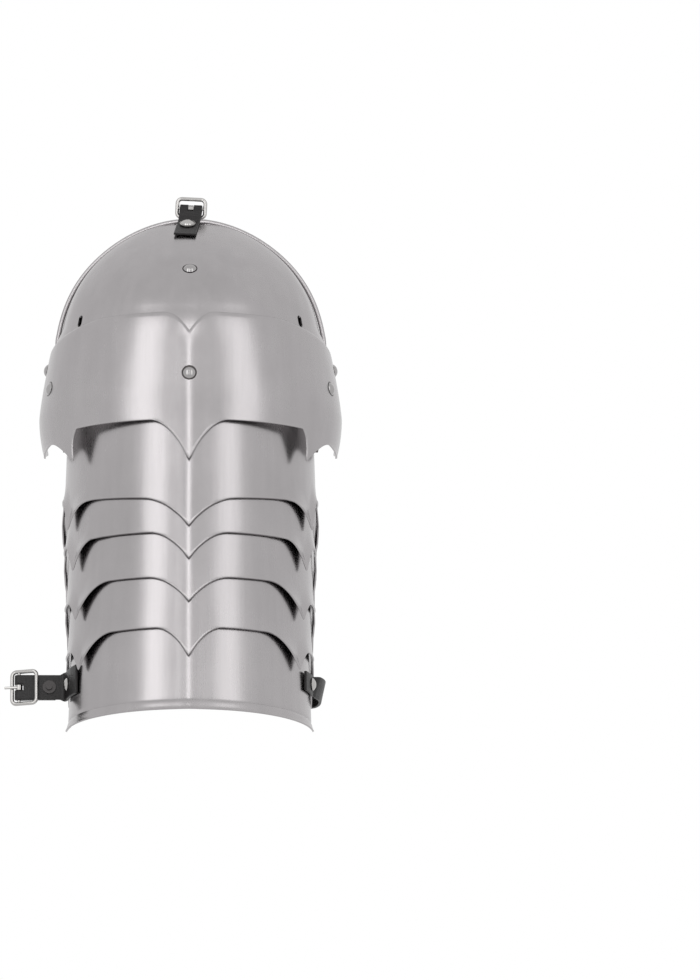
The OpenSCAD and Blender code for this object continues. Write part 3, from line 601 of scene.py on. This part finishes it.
SLOT_W, SLOT_H, SLOT_A, SLOT_Z = 4.4, 8.6, 56, 284
COLLAR_WALL, COLLAR_H, COLLAR_INSET = 0.5, 3.4, 5.1
# Painted shade: near-black collars under the slots stand for the shade seen through them
slot_shade_finish = polished_steel("painted_shade_slot_collar", (0.012, 0.011, 0.011), 0.05, 0.6)
for side, hand in ((-1, "left"), (1, "right")):
    slot_place = on_dome(side * SLOT_A, SLOT_Z, 1.5)
    punch_out(crown, long_hole(SLOT_W, SLOT_H, 14, slot_place))
    collar = long_hole(SLOT_W + 2 * COLLAR_WALL, SLOT_H + 2 * COLLAR_WALL, COLLAR_H,
                       on_dome(side * SLOT_A, SLOT_Z, COLLAR_INSET))
    punch_out(collar, long_hole(SLOT_W, SLOT_H, 14, slot_place))
    collar.name = collar.data.name = f"slot_edge_{hand}"
    collar.data.materials.append(slot_shade_finish)
    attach(collar, "crown")
crown_riveted = [dome_point(0, CROWN_RIVET_Z, crown_inset(CROWN_RIVET_Z))]
crown.data.materials.append(polished_steel("crown_plate_steel", *PLATE_STEEL, crown_riveted))
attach(crown, "crown")
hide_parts("crown_plate")

# Rolled rim
# The crown plate's upper edge is rolled round a steel wire, from one flank over the top to the
# other. The bead runs out under the shoulder plate at both ends.
RIM_R, RIM_Z0, RIM_STEPS = 1.7, 267, 120
RIM_OUT, RIM_BACK = 0.3, 0.3
# Towards its ends the bead moves inwards by this much, below this height, over this height
RIM_END_IN, RIM_END_Z, RIM_END_H = 1.5, 285, 12


def rim_centre(t):
    z = mix(RIM_Z0, CROWN_TOP_Z, ease(abs(t)))
    side = 1 if t > 0 else -1
    inset = crown_inset(z) - RIM_OUT + RIM_END_IN * smooth((RIM_END_Z - z) / RIM_END_H)
    return dome_point(90 * side, z, inset) + Vector((0, RIM_BACK, 0))


def rolled(name, centres, radius, sides):
    """A closed round tube along a row of centres."""
    count = len(centres) - 1

    def corner(column, row):
        along = (centres[min(count, row + 1)] - centres[max(0, row - 1)]).normalized()
        u = along.cross(Vector((0, 1, 0))).normalized()
        v = along.cross(u)
        turn = -2 * math.pi * column / sides
        return centres[row] + radius * (math.cos(turn) * u + math.sin(turn) * v)

    tube = shaped_sheet(name, sides, count, corner)
    bpy.ops.object.mode_set(mode="EDIT")
    bpy.ops.mesh.select_all(action="SELECT")
    bpy.ops.mesh.remove_doubles(threshold=0.00001)
    bpy.ops.mesh.select_all(action="DESELECT")
    bpy.ops.mesh.select_non_manifold(extend=False)
    bpy.ops.mesh.edge_face_add()
    bpy.ops.mesh.select_all(action="SELECT")
    bpy.ops.mesh.normals_make_consistent(inside=False)
    bpy.ops.object.mode_set(mode="OBJECT")
    bpy.ops.object.shade_smooth_by_angle(angle=math.radians(40))
    return tube


half_rim = [(i + 0.001) / RIM_STEPS for i in range(RIM_STEPS + 1)]
rim_line = [rim_centre(-t) for t in half_rim] + [rim_centre(t) for t in reversed(half_rim)]
rim = rolled("rolled_rim", rim_line, RIM_R, 16)
rim.data.materials.append(plate_finish)
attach(rim, "crown")
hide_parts("crown_rim_wire")

# Rivets
# Domed steel rivets hold the plates: one in the middle of each dished plate, two on each flank,
# and small ones out of sight behind, on which the lames turn. They are kept as the frame has them.
rivet_finish = polished_steel("polished_rivet_steel", (0.36, 0.35, 0.35), 0.01, 0.16)


def dress(material, *names):
    """Gives nodes that are kept as the frame has them their material."""
    for name in names:
        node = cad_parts[name]
        node.data.materials.clear()
        node.data.materials.append(material)


dress(rivet_finish, "main_rivets", "crown_rivet", "lame_1_rivets", "lame_2_rivets", "lame_3_rivets",
      "lame_4_rivets", "bottom_lame_rivets", *(f"centre_rivet_{i}" for i in range(1, 6)))

# Inner leathers
# Strips of leather inside the plates tie each one to the next, under a flush rivet on the centre
# line, and two short hangers carry the first lame from the shoulder plate's flanks.
STRIP_ROUND = 0.3
CROWN_STRIP_Z = (290, 240)


def oiled_leather(name, dark, light, shine):
    """Vegetable tanned leather, dyed dark: pebbled grain, creases and rubbed high spots."""
    material = bpy.data.materials.new(name)
    tree = Tree(material)
    place = tree.node("ShaderNodeTexCoord").outputs["Object"]
    warp = tree.node("ShaderNodeTexNoise", Vector=place, Scale=320.0, Detail=2.0)
    moved = tree.node("ShaderNodeVectorMath", {"operation": "MULTIPLY_ADD"},
                      _0=warp.outputs["Color"], _1=(0.0012, 0.0012, 0.0012), _2=place)
    pebble = tree.value("ShaderNodeTexVoronoi", 0, None, Vector=moved.outputs[0], Scale=1100.0)
    crease = tree.value("ShaderNodeTexNoise", 0, None, Vector=place, Scale=240.0, Detail=6.0, Roughness=0.7)
    patch = tree.value("ShaderNodeTexNoise", 0, None, Vector=place, Scale=60.0, Detail=4.0)
    tone = patch * 0.55 + crease * 0.3 + pebble * 0.25
    base = tree.node("ShaderNodeValToRGB", {"stops": ((0.32, dark), (0.78, light))}, Fac=tone)
    height = crease * 0.6 - pebble * 0.5 + patch
    bump = tree.node("ShaderNodeBump", Strength=0.5, Distance=0.0004, Height=height)
    leather = tree.node("ShaderNodeBsdfPrincipled", Base_Color=base.outputs[0], Specular_IOR_Level=0.36,
                        Roughness=shine + (patch - 0.5) * 0.25, Normal=bump.outputs[0])
    tree.node("ShaderNodeOutputMaterial", Surface=leather.outputs[0])
    return material


strap_leather = oiled_leather("black_strap_leather", (0.004, 0.0035, 0.004), (0.016, 0.014, 0.014), 0.42)
inner_leather = oiled_leather("inner_leather", (0.03, 0.018, 0.011), (0.085, 0.05, 0.03), 0.62)


def softened(name):
    """A copy of a leather node with its loose triangles joined and its cut edges rounded."""
    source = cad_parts[name]
    bpy.ops.object.select_all(action="DESELECT")
    copy = source.copy()
    copy.data = source.data.copy()
    copy.parent = None
    copy.name = copy.data.name = name + "_soft"
    bpy.context.collection.objects.link(copy)
    bpy.context.view_layer.objects.active = copy
    copy.select_set(True)
    bpy.ops.object.mode_set(mode="EDIT")
    bpy.ops.mesh.select_all(action="SELECT")
    bpy.ops.mesh.remove_doubles(threshold=0.000005)
    bpy.ops.mesh.dissolve_limited(angle_limit=math.radians(1))
    bpy.ops.object.mode_set(mode="OBJECT")
    rounding = copy.modifiers.new("Bevel", "BEVEL")
    rounding.width, rounding.segments, rounding.angle_limit = STRIP_ROUND / 1000, 2, math.radians(40)
    bpy.ops.object.modifier_apply(modifier=rounding.name)
    bpy.ops.object.shade_smooth_by_angle(angle=math.radians(35))
    copy.data.materials.clear()
    copy.data.materials.append(inner_leather)
    return copy


def centre_z(n):
    """Height of lame n's flush rivet; 0 is the shoulder plate's."""
    return MAIN_RIVET_Z if n == 0 else TIP_Z[n - 1] + 20 - 1.2 * n


held_by = ("main", "lame_1", "lame_2", "lame_3", "lame_4", "bottom_lame")
strips = [("crown_leather", "crown", "main", *CROWN_STRIP_Z)]
strips += [(f"centre_leather_{n}", held_by[n], held_by[n + 1], centre_z(n), centre_z(n + 1))
           for n in range(5)]
for name, upper, lower, high, low in strips:
    strip = softened(name)
    y = dome_front(high) / 1000
    (high - 4) / 1000
    (low + 4) / 1000
    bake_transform(strip)
    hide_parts(name)

hangers = softened("hanger_leathers")
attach(hangers, "main")
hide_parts("hanger_leathers")

# Arm strap
# A black leather strap closes the sleeve behind the arm. Its buckle end lies on the left flank
# under a domed rivet, stands off it, and folds round the buckle's bar under a flat dark rivet.
STRAP_Z, STRAP_W, STRAP_WALL, BASE_W = 31.5, 17.5, 1.9, 20.5
STRAP_GAP, LEATHER_T, FOLD_T, BAR_R, BAR_GAP = 0.35, 2.4, 1.6, 1.1, 0.1
ARM_STRAP_LEN, PRONG_SLOT, SLOT_LEN = 33, 4.2, 12
STRAP_ROUND = 0.55
ROOT_X = lame_size(5, STRAP_Z, FLANK_GAP) + 2 * STRAP_GAP + 1.5 * LEATHER_T + 0.3
ROOT_Y, ROOT_R = -4.6, 3.7
BAR_X = ROOT_X + ARM_STRAP_LEN - LEATHER_T
BAR_Y = ROOT_Y - LEATHER_T / 2 + BAR_R + BAR_GAP + FOLD_T
LOOP_R = BAR_R + BAR_GAP + STRAP_WALL / 2
BACK_Y = ROOT_Y + STRAP_WALL + 0.1
LIE = STRAP_GAP + LEATHER_T / 2


def smooth_path(marks, step):
    """Points at even steps along a smooth curve through the marks."""
    marks = [Vector(m) for m in marks]
    padded = [2 * marks[0] - marks[1], *marks, 2 * marks[-1] - marks[-2]]
    points = []
    for i in range(1, len(padded) - 2):
        p, q, r, s = padded[i - 1 : i + 3]
        count = max(1, round((r - q).length / step))
        for j in range(count):
            t = j / count
            points.append(0.5 * (2 * q + (r - p) * t + (2 * p - 5 * q + 4 * r - s) * t * t
                                 + (3 * q - p - 3 * r + s) * t**3))
    return points + [marks[-1]]


def turn_points(x, y, r, low, high, count):
    """Points on an arc round (x, y), from the angle low to the angle high."""
    turns = [math.radians(low + (high - low) * i / count) for i in range(count + 1)]
    return [(x + r * math.cos(turn), y + r * math.sin(turn), 0) for turn in turns]


def strap_piece(name, path, width, across, wall, edge_round):
    """A leather strip along a path in mm; width and across give its width and its direction there."""
    columns = 10

    def corner(column, row):
        share = row / (len(path) - 1)
        return path[row] + across(share, path[row]) * ((column / columns - 0.5) * width(share, path[row]))

    strap = shaped_sheet(name, columns, len(path) - 1, corner)
    finish_sheet(strap, wall, edge_round, 0)
    strap.data.materials.append(strap_leather)
    return strap


def flank_point(a, out):
    x, y, _ = lame_point(5, a, STRAP_Z - 8, out)
    return x, y, 0


def cut_slot(strap, place, sizes):
    """Cuts the prong's slot through a strap: a box of the given sizes in mm, at the frame place."""
    bpy.ops.object.select_all(action="DESELECT")
    bpy.ops.mesh.primitive_cube_add(size=1)
    chisel = bpy.context.object
    chisel.data.transform(Matrix.Scale(0.001, 4) @ place @ Matrix.Diagonal((*sizes, 1)))
    punch_out(strap, chisel)


marks = [flank_point(a, LIE) for a in (66, 69, 72, 75, 78, 81, 83)]
marks += turn_points(ROOT_X + 0.9, ROOT_Y - ROOT_R, ROOT_R, 172, 92, 4)
marks += [(ROOT_X + 6, ROOT_Y, 0), (ROOT_X + 16, ROOT_Y - 0.1, 0), (BAR_X - 6, BAR_Y - LOOP_R + 0.2, 0)]
marks += turn_points(BAR_X, BAR_Y, LOOP_R, -100, 100, 10)
marks += [(BAR_X - 5, BAR_Y + LOOP_R - 0.7, 0), (BAR_X - 12, BACK_Y, 0), (ROOT_X + 5, BACK_Y, 0)]
path = [Vector((-p.x, p.y, STRAP_Z)) for p in smooth_path(marks, 0.8)]


def arm_width(share, p):
    return mix(BASE_W, STRAP_W, (-p.x - ROOT_X + 1) / 3)


def arm_across(share, p):
    return Vector((0, 0, -1))


arm_strap = strap_piece("arm_strap_leather", path, arm_width, arm_across, STRAP_WALL, STRAP_ROUND)
cut_slot(arm_strap, Matrix.Translation((-(BAR_X + 3), BAR_Y, STRAP_Z)), (SLOT_LEN, 16, PRONG_SLOT))
-(ROOT_X - 2.8) / 1000
-(ROOT_X + 1.4) / 1000
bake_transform(arm_strap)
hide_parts("arm_strap_base", "arm_strap")

# Punched end of the arm strap
# The other end lies on the right flank, wide as a finger, and is put away behind the arm. It is
# cut to a point and punched with four holes for the prong.
END_RISE, END_W, END_BASE_W = math.radians(12), 15.5, 13.5
END_TIP_W, END_TIP_LEN, END_STEP = 3, 16, 1.4
END_PATH = ((0, 0), (3, 8.6), (3.6, 18.6), (1.2, 29.8), (-6.3, 41), (-22, 50.6), (-42, 58.6), (-66, 63.6),
            (-92, 66.6), (-128, 68.6))
HOLE_R, HOLE_STEP, FIRST_HOLE, HOLES = 1.6, 8, 28, 4
marks = [flank_point(a, LIE) for a in (70, 73, 76, 79, 82, 84)]
marks += [(ROOT_X + x, ROOT_Y + y, 0) for x, y in END_PATH]
path = []
for p in smooth_path(marks, END_STEP):
    inwards = min(0, p.x - ROOT_X) if p.y > 0 else 0
    x = p.x + inwards * (math.cos(END_RISE) - 1)
    path.append(Vector((x, p.y, STRAP_Z - inwards * math.sin(END_RISE))))


def end_width(share, p):
    whole = mix(END_BASE_W, END_W, (p.y + 8) / 4)
    return mix(END_TIP_W, whole, (1 - share) * len(path) * END_STEP / END_TIP_LEN)


def end_across(share, p):
    lean = mix(0, END_RISE, (p.y + 10) / 6)
    return Vector((math.sin(lean), 0, math.cos(lean)))


end_strap = strap_piece("end_strap_leather", path, end_width, end_across, STRAP_WALL, STRAP_ROUND)
for i in range(HOLES):
    bpy.ops.object.select_all(action="DESELECT")
    bpy.ops.mesh.primitive_cylinder_add(vertices=24, radius=HOLE_R / 1000, depth=0.02)
    awl = bpy.context.object
    hole = path[-1 - round((FIRST_HOLE + HOLE_STEP * i) / END_STEP)]
    awl.data.transform(Matrix.Translation(hole / 1000) @ Matrix.Rotation(math.radians(90), 4, "X"))
    punch_out(end_strap, awl)
(ROOT_X - 2.5) / 1000
(ROOT_X + 1) / 1000
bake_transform(end_strap)
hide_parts("end_strap_base", "end_strap")

# Top strap
# A short strap riveted to the crown under its rim stands up and folds back round the bar of the
# buckle that hangs the spaulder from the collar.
TOP_RIVET_Z, TOP_X, TOP_LEAN, TOP_SLOPE, TOP_STAND, TOP_ROOT = 357.5, -2.2, 7, 36.7, 36.3, 10.3
TOP_W, TOP_BAR_U, TOP_WALL, TOP_ROUND = 15.5, 10, 1.6, 0.5
TOP_LOOP_R = BAR_R + BAR_GAP + TOP_WALL / 2
BAR_OUT = LEATHER_T / 2 - BAR_R - BAR_GAP - FOLD_T
# on_top lies on the crown at the rivet; standing is turned up from it where the strap leaves the rim
on_top = (Matrix.Translation((TOP_X, dome_front(TOP_RIVET_Z), TOP_RIVET_Z))
          @ Matrix.Rotation(math.radians(TOP_SLOPE), 4, "X")
          @ Matrix.Rotation(math.radians(-TOP_LEAN), 4, "Z"))
standing = (on_top @ Matrix.Translation((0, TOP_ROOT, LIE))
            @ Matrix.Rotation(math.radians(TOP_STAND), 4, "X"))
marks = [on_top @ Vector((0, y, LIE - 0.2)) for y in (-16, -12, -8, -4, 0, 4, 7.5)]
marks += [standing @ Vector((0, u, out)) for u, out in ((1.6, 0.1), (4, 0.2), (6.5, 0.4))]
marks += [standing @ Vector((0, u, out))
          for u, out, _ in turn_points(TOP_BAR_U, BAR_OUT, TOP_LOOP_R, 100, -100, 10)]
marks += [standing @ Vector((0, u, out))
          for u, out in ((6.5, BAR_OUT - TOP_LOOP_R + 0.9), (4.5, -1.95), (2, -1.9))]
path = smooth_path(marks, 0.7)
TOP_ACROSS = (on_top.to_3x3() @ Vector((-1, 0, 0))).normalized()


def top_width(share, p):
    return TOP_W


def top_across(share, p):
    return TOP_ACROSS


top_strap = strap_piece("top_strap_leather", path, top_width, top_across, TOP_WALL, TOP_ROUND)
cut_slot(top_strap, standing @ Matrix.Translation((0, TOP_BAR_U + 3, 0)), (PRONG_SLOT, SLOT_LEN, 18))
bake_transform(top_strap)
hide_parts("top_strap_base", "top_strap")

# Buckles and strap rivets
# The buckles are bent from round steel wire, plated and bright, each with a loose prong on its
# bar. Domed rivets hold the straps' bases, and a flat blackened one holds the arm strap's fold.
buckle_finish = polished_steel("bright_buckle_steel", (0.44, 0.43, 0.42), 0.02, 0.17)
dark_finish = polished_steel("blackened_steel", (0.055, 0.052, 0.052), 0.05, 0.38)
dress(buckle_finish, "arm_buckle_frame", "arm_buckle_prong", "top_buckle_frame", "top_buckle_prong",
      "arm_strap_base_rivet", "end_strap_base_rivet", "top_strap_rivet")
dress(dark_finish, "arm_strap_fold_rivet")
